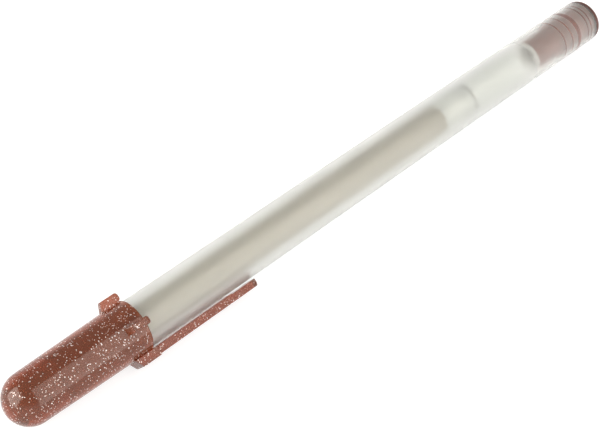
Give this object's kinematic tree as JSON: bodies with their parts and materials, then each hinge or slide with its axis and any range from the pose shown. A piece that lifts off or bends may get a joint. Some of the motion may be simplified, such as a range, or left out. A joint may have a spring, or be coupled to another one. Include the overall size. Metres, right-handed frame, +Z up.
{
  "type": "gel pen",
  "caption": "Capped gel pen: frosted tube barrel showing the ink tube and ribbed end plug, domed glitter cap with side clip and roll-stop lugs",
  "frame": {"origin": "centre of the end plug's rear face", "axes": "+X along the pen's axis towards the cap's dome, +Z up as the pen lies on a table on its clip block and the lug next to it, +Y towards the clip's side"},
  "size_m": [0.15, 0.0114, 0.0108],
  "materials": {
    "frosted_tube": "frosted translucent polypropylene",
    "cap_plastic": "glossy translucent red-brown with fine silver glitter",
    "plug_plastic": "plain red-brown",
    "clear_tube": "clear natural polypropylene",
    "natural_plastic": "natural white",
    "ink_gel": "opaque beige pigment gel",
    "follower_gel": "clear grease",
    "tip_metal": "turned nickel silver",
    "spring_steel": "drawn wire",
    "ball_metal": "polished tungsten carbide",
    "seal_rubber": "matt elastomer"
  },
  "bodies": {
    "pen": {"barrel": "frosted_tube", "end_plug": "plug_plastic", "nose_cone": "natural_plastic", "ink_tube": "clear_tube", "ink": "ink_gel", "tip_holder": "natural_plastic", "metal_tip": "tip_metal", "ball_spring": "spring_steel"},
    "ball": {"tip_ball": "ball_metal"},
    "follower": {"ink_follower": "follower_gel", "follower_float": "natural_plastic"},
    "seal": {"cap_tip_seal": "seal_rubber"},
    "cap": {"cap_shell": "cap_plastic"},
    "clip": {"cap_clip": "cap_plastic"}
  },
  "joints": [
    {"name": "cap_pull", "type": "slide", "parent": "pen", "child": "seal", "axis": [1, 0, 0], "range_m": [0, 0.05]},
    {"name": "cap_turn", "type": "hinge", "parent": "seal", "child": "cap", "pos_m": [0.13, 0, 0], "axis": [1, 0, 0], "continuous": true},
    {"name": "clip_flex", "type": "hinge", "parent": "cap", "child": "clip", "pos_m": [0.1232, 0.00416, -0.0034], "axis": [0, -0.633, -0.7741], "range_deg": [0, 7], "stiffness_Nm_per_rad": 0.24},
    {"name": "ball_roll", "type": "hinge", "parent": "pen", "child": "ball", "pos_m": [0.14708, 0, 0], "axis": [0, 1, 0], "continuous": true},
    {"name": "follower_travel", "type": "slide", "parent": "pen", "child": "follower", "axis": [1, 0, 0], "range_m": [0, 0.0775], "deforming": ["ink"]}
  ]
}
